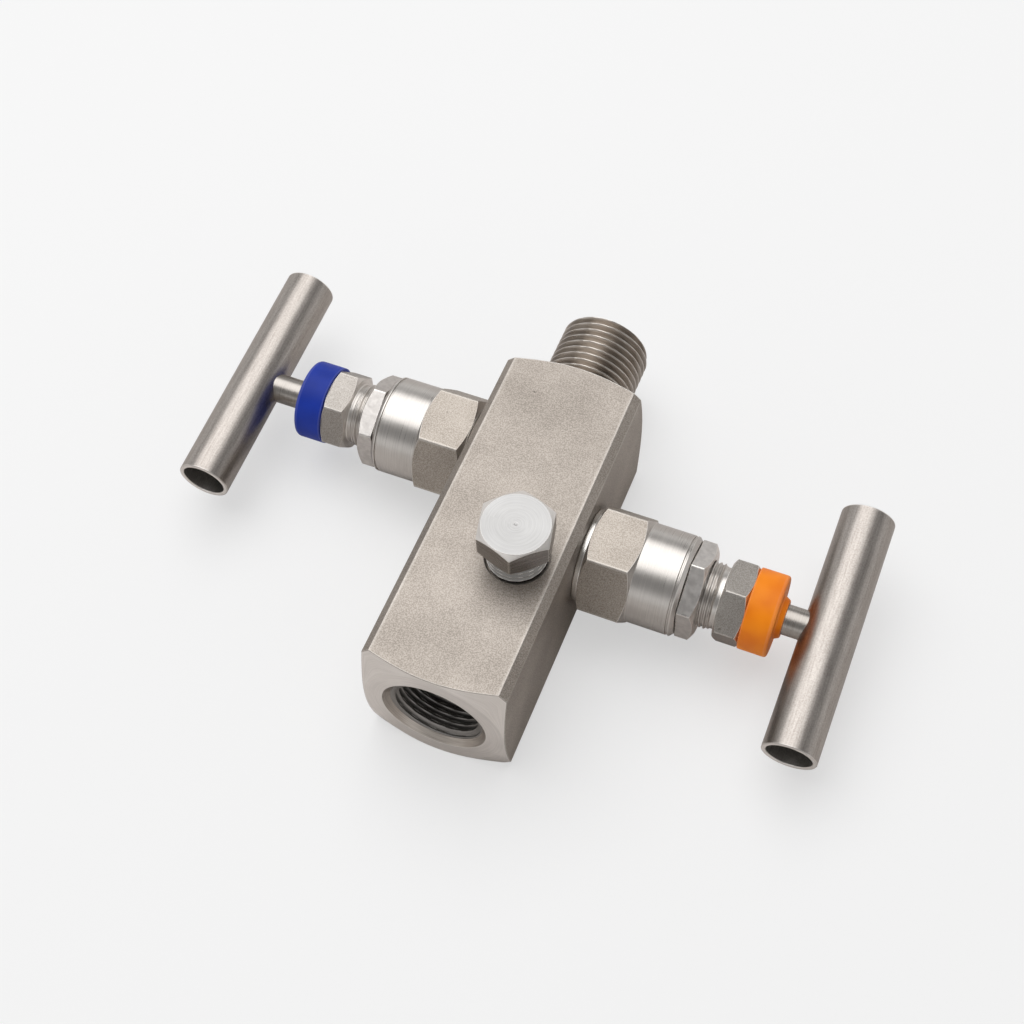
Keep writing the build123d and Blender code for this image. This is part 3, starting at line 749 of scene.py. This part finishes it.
# === Glands ====================================================================================
# The gland nut presses the packing down. Its hexagon is blasted and bevelled at both ends, its
# threaded shank is bright, and a spigot beyond the hexagon carries the dust cap.
GLAND_HEX = 16.8
GLAND_HEX_L = 5.8
GLAND_PITCH = 1.0
GLAND_THREAD_DEPTH = 0.45
GLAND_NECK_R = 6.9
GLAND_NECK_L = 1.3
GLAND_STEP = 0.3            # length of the slope from the core to the neck
GLAND_RUNOUT = 0.2          # by which the ridge runs on past the core
GLAND_SLEEVE_T = 0.8
SPIGOT_R = 6.2
SPIGOT_L = 3.4

gland_finish = blasted_steel("gland_blasted", (0.23, 0.21, 0.19, 1), (0.45, 0.42, 0.39, 1),
                             roughness=0.42, grain=0.22)
for valve in valves:
    section = hexagon(GLAND_HEX, valve.gland_turn)
    low, hex_end = valve.out("gland_nut")[0], valve.out("dust_cap")[0]
    hex_start = hex_end - GLAND_HEX_L
    lift = (section[1] - section[1].min()) * NUT_BEVEL
    flat_r = section[1].min() - BELOW_FLAT
    neck_start = hex_start - GLAND_NECK_L
    core_r = GLAND_THREAD_R - GLAND_THREAD_DEPTH - FIT
    gland = turned(f"{valve.name}_gland_nut_dressed", [
        (STEM_R + FIT, hex_end + SPIGOT_L, FINE_EDGE, 1), (STEM_R + FIT, low, FINE_EDGE, 1),
        (core_r, low, FINE_EDGE, 2), (core_r, neck_start, CRISP_EDGE, 2),
        (GLAND_NECK_R, neck_start + GLAND_STEP, EASED_EDGE, 2),
        (GLAND_NECK_R, hex_start, SOFT_EDGE, 1),
        (flat_r, hex_start, TURNED_EDGE, 1), (section[1], hex_start + lift, TURNED_EDGE, 0),
        (section[1], hex_end - lift, TURNED_EDGE, 1), (flat_r, hex_end, TURNED_EDGE, 1),
        (SPIGOT_R, hex_end, FINE_EDGE, 1), (SPIGOT_R, hex_end + SPIGOT_L, FINE_EDGE, 1)],
        [gland_finish, face_finish, barrel_finish], valve.to_world, section, ring=True)
    shank = threaded(f"{valve.name}_gland_thread", GLAND_THREAD_R - FIT, GLAND_THREAD_DEPTH,
                     GLAND_PITCH, low, neck_start + GLAND_RUNOUT, core_r - GLAND_SLEEVE_T,
                     barrel_finish, valve.to_world)
    valve.fit(gland, "manifold", "fitting_steel", "gland_nut")
    valve.fit(shank, "manifold", "fitting_steel")

# === Dust caps =================================================================================
# A moulded plastic ring is snapped over each gland's spigot, blue on the isolate valve and
# orange on the vent valve, with soft rims and a low boss round the stem.
CAP_R = 9.15
CAP_RIM = 0.75
CAP_BOSS_R = 4.9
CAP_BOSS_L = 1.4
CAP_FOOT_EDGE = 0.5
CAP_CROWN_EDGE = 0.4
CAP_COLOURS = {"isolate": ("blue", (0.004, 0.026, 0.28, 1), (0.006, 0.034, 0.35, 1)),
               "vent": ("orange", (0.82, 0.19, 0.001, 1), (0.94, 0.26, 0.002, 1))}


def moulded_plastic(name, dark, light):
    """Satin moulded plastic with a faint orange peel and rims rubbed a little paler."""
    plastic = Finish(name, IOR=1.5, Specular_IOR_Level=0.25)
    peel = plastic.noise(plastic.place(), 900.0, 2.0)
    clouds = plastic.noise(plastic.place(), 150.0, 2.0)
    colour = plastic.blend(clouds.ramp(0.3, 0.7), dark, light)
    return plastic.paint(Base_Color=plastic.blend(plastic.worn() * 0.04, colour, (1, 1, 1, 1)),
                         Roughness=0.42 + 0.12 * peel,
                         Normal=plastic.bump(peel, 0.2, 0.02))


for valve in valves:
    colour, dark, light = CAP_COLOURS[valve.name]
    start, end = valve.out("dust_cap")
    face = end - CAP_BOSS_L
    cap = turned(f"{valve.name}_dust_cap_moulded", [
        (STEM_R + FIT, end, EASED_EDGE, 0), (STEM_R + FIT, start + SPIGOT_L, FINE_EDGE, 0),
        (SPIGOT_R, start + SPIGOT_L, FINE_EDGE, 0), (SPIGOT_R, start, FINE_EDGE, 0),
        (CAP_R - BELOW_FLAT, start, SOFT_EDGE, 0), (CAP_R, face, CAP_RIM, 0),
        (CAP_BOSS_R, face, CAP_FOOT_EDGE, 0),
        (CAP_BOSS_R - CAP_BOSS_L / 2, end, CAP_CROWN_EDGE, 0)],
        [moulded_plastic(f"cap_{colour}_plastic", dark, light)], valve.to_world, ring=True)
    valve.fit(cap, "manifold", f"cap_{colour}", "dust_cap")

# === Stems =====================================================================================
# The stem is turned and polished bar: a button that swivels in the needle, a thread in the
# bonnet, a plain shaft through the packing, and a tenon that is joined inside the handle.
BUTTON_R = 2.1
BUTTON_T = 1.2
BUTTON_NECK_R = 1.4
BUTTON_NECK_L = 1.5
STEM_THREAD_L = 7.6
TENON_R = 2.4
TENON_START = 4.0           # below the handle's axis
TENON_CROWN = 0.6           # its end is domed to the handle's bore

stem_finish = turned_steel("stem_polished", (0.29, 0.265, 0.24, 1), (0.47, 0.44, 0.41, 1),
                           roughness=0.30, marks=8.0, depth=0.006)
for valve in valves:
    low, top = valve.out("stem")
    handle = sum(valve.out("handle_bar")) / 2
    button = low + BUTTON_T
    thread = button + BUTTON_NECK_L
    stem = turned(f"{valve.name}_stem_polished", [
        (0, low, 0, 0), (BUTTON_R, low, FINE_EDGE, 0), (BUTTON_R, button, FINE_EDGE, 0),
        (BUTTON_NECK_R, button, FINE_EDGE, 0), (BUTTON_NECK_R, thread, FINE_EDGE, 0),
        (STEM_THREAD_R, thread, SOFT_EDGE, 0), (STEM_THREAD_R, thread + STEM_THREAD_L, SOFT_EDGE, 0),
        (STEM_R, thread + STEM_THREAD_L, FINE_EDGE, 0), (STEM_R, handle - TENON_START, FINE_EDGE, 0),
        (TENON_R, handle - TENON_START, FINE_EDGE, 0), (TENON_R, top - TENON_CROWN, EASED_EDGE, 0),
        (0, top, 0, 0)], [stem_finish], valve.to_world)
    valve.fit(stem, f"{valve.name}_spindle", "stem_steel", "stem")

# === Handles ===================================================================================
# Each T-handle is a length of thin drawn tube, brushed along its length and lightly deburred,
# drilled for the stem and open at both ends.
BAR_R = 6.0
BAR_WALL = 1.0
BAR_L = 58.0
BAR_DEBURR = 0.25


def drawn_tube_steel(name, dark, light):
    """Drawn and brushed tube: faint lines along it over a fine grain and slow dull patches."""
    steel = Finish(name, Metallic=1.0)
    lines = steel.noise(steel.wrap(1.0, 0.05), 3.0, 4.0)
    grain = steel.noise(steel.place(), 3000.0, 3.0)
    patches = steel.noise(steel.place(), 90.0, 2.0)
    tone = lines.ramp(0.3, 0.7) * 0.35 + grain.ramp(0.3, 0.7) * 0.40 + patches * 0.25
    rubbed = steel.worn() * 0.6
    return steel.paint(Base_Color=steel.blend(rubbed, steel.blend(tone, dark, light), WORN),
                       Roughness=0.27 + grain * 0.10 + patches * 0.06,
                       Normal=steel.bump(lines + grain, 0.3, 0.010))


tube_finish = drawn_tube_steel("tube_brushed", (0.27, 0.241, 0.219, 1), (0.50, 0.462, 0.430, 1))
# The bore is the same tube steel painted paler: painted light inside the tube.
bore_lit_finish = drawn_tube_steel("tube_bore_lit", (0.48, 0.46, 0.44, 1), (0.70, 0.68, 0.65, 1))
for valve in valves:
    handle = sum(valve.out("handle_bar")) / 2
    across = (Matrix.Translation((0, 0, handle * MM))
              @ Matrix.Rotation(math.radians(valve.handle_tilt), 4, "Z")
              @ Matrix.Rotation(math.pi / 2, 4, "Y"))
    half = BAR_L / 2
    tube = turned(f"{valve.name}_handle_tube", [
        (BAR_R - BAR_WALL, half, BAR_DEBURR, 1), (BAR_R - BAR_WALL, -half, BAR_DEBURR, 2),
        (BAR_R, -half, BAR_DEBURR, 0), (BAR_R, half, BAR_DEBURR, 2)],
        [tube_finish, bore_lit_finish, face_finish], valve.to_world @ across, ring=True)
    valve.fit(tube, f"{valve.name}_spindle", "handle_steel", "handle_bar")

# === Floor =====================================================================================
# A plain pale matt table under the block. To the camera about half of its white is its own
# glow, and farther off all of it, so that the block's shadow on it stays soft and light. In
# the steel's reflections it is painted darker: a painted darker reflection.
FLOOR_SIZE = 6.0
TABLE_WHITE = (0.92, 0.92, 0.92, 1)
# the table's colour seen only in the steel: a painted darker reflection
TABLE_IN_STEEL = (0.68, 0.65, 0.63, 1)
TABLE_GLOW = 0.55
TABLE_FADE = (0.10, 0.60)   # metres from the block

low = cad_bounds[0][2]
reach = FLOOR_SIZE / 2
floor_mesh = bpy.data.meshes.new("floor")
floor_mesh.from_pydata([(-reach, -reach, low), (reach, -reach, low), (reach, reach, low),
                        (-reach, reach, low)], [], [(0, 1, 2, 3)])
table = Finish("table_paint", Roughness=0.9, Specular_IOR_Level=0.1)
mirrored = table.node("LightPath", output="Is Glossy Ray")
table.paint(Base_Color=table.blend(mirrored, TABLE_WHITE, TABLE_IN_STEEL))
seen = table.node("LightPath", output="Is Camera Ray")
away = table.node("VectorMath", {0: table.place()}, {"operation": "LENGTH"}, "Value")
own = seen * (TABLE_GLOW + away.ramp(*TABLE_FADE) * (1 - TABLE_GLOW))
glow = table.node("Emission", {"Color": TABLE_WHITE})
surface = table.node("MixShader", {0: own, 1: Value(table, table.shader.outputs[0]), 2: glow})
table.feed(table.tree.nodes["Material Output"].inputs["Surface"], surface)
floor_mesh.materials.append(table.material)
floor = bpy.data.objects.new("floor", floor_mesh)
bpy.context.scene.collection.objects.link(floor)

# === Light =====================================================================================
# One wide softbox overhead, a little behind and to the left, in a room that is bright near the
# horizon and darker above it, which gives the turned steel its light and dark bands.
SOFTBOX_PLACE = (-0.25, 0.25, 1.0)
SOFTBOX_SIZE = (1.25, 1.25)
SOFTBOX_POWER = 10.3
HORIZON_LIGHT = 0.90
CEILING_LIGHT = 0.30
CEILING_RISE = (0.22, 0.50)     # sines of the heights between which the room darkens

lamp_data = bpy.data.lights.new("softbox", "AREA")
lamp_data.shape = "RECTANGLE"
lamp_data.size, lamp_data.size_y = SOFTBOX_SIZE
lamp_data.energy = SOFTBOX_POWER
lamp = bpy.data.objects.new("softbox", lamp_data)
lamp.location = SOFTBOX_PLACE
lamp.rotation_euler = (-Vector(SOFTBOX_PLACE)).to_track_quat("-Z", "Y").to_euler()
bpy.context.scene.collection.objects.link(lamp)

world = bpy.data.worlds.new("studio")
bpy.context.scene.world = world
world.use_nodes = True
sky = Graph(world.node_tree)
height = sky.node("SeparateXYZ", {0: sky.node("TexCoord", output="Generated")}, output="Z")
background = sky.tree.nodes["Background"]
sky.feed(background.inputs["Color"], (1, 1, 1, 1))
sky.feed(background.inputs["Strength"], HORIZON_LIGHT + height.ramp(*CEILING_RISE)
         * (CEILING_LIGHT - HORIZON_LIGHT))

# === Camera ====================================================================================
# It stands in front of the gauge port, a little to the right of it, and looks steeply down on
# the block with a plain lens.
CAMERA_TARGET = (-7.7, 56.7, 0.0)
CAMERA_DISTANCE = 378.8
CAMERA_AZIMUTH = math.radians(24.95)
CAMERA_ELEVATION = math.radians(56.82)
CAMERA_ROLL = math.radians(-3.39)
CAMERA_LENS = 59.05
CAMERA_SHIFT = (0.00996, -0.01885)

back = Vector((math.sin(CAMERA_AZIMUTH) * math.cos(CAMERA_ELEVATION),
               -math.cos(CAMERA_AZIMUTH) * math.cos(CAMERA_ELEVATION),
               math.sin(CAMERA_ELEVATION)))
right = Vector((0, 0, 1)).cross(back).normalized()
facing = Matrix((right, back.cross(right), back)).transposed().to_4x4()
eye_data = bpy.data.cameras.new("camera")
eye_data.lens = CAMERA_LENS
eye_data.shift_x, eye_data.shift_y = CAMERA_SHIFT
eye_data.clip_start = 0.01
eye = bpy.data.objects.new("camera", eye_data)
eye.matrix_world = (Matrix.Translation((Vector(CAMERA_TARGET) + back * CAMERA_DISTANCE) * MM)
                    @ facing @ Matrix.Rotation(CAMERA_ROLL, 4, "Z"))
bpy.context.scene.collection.objects.link(eye)
bpy.context.scene.camera = eye
bpy.context.scene.view_settings.view_transform = "Standard"
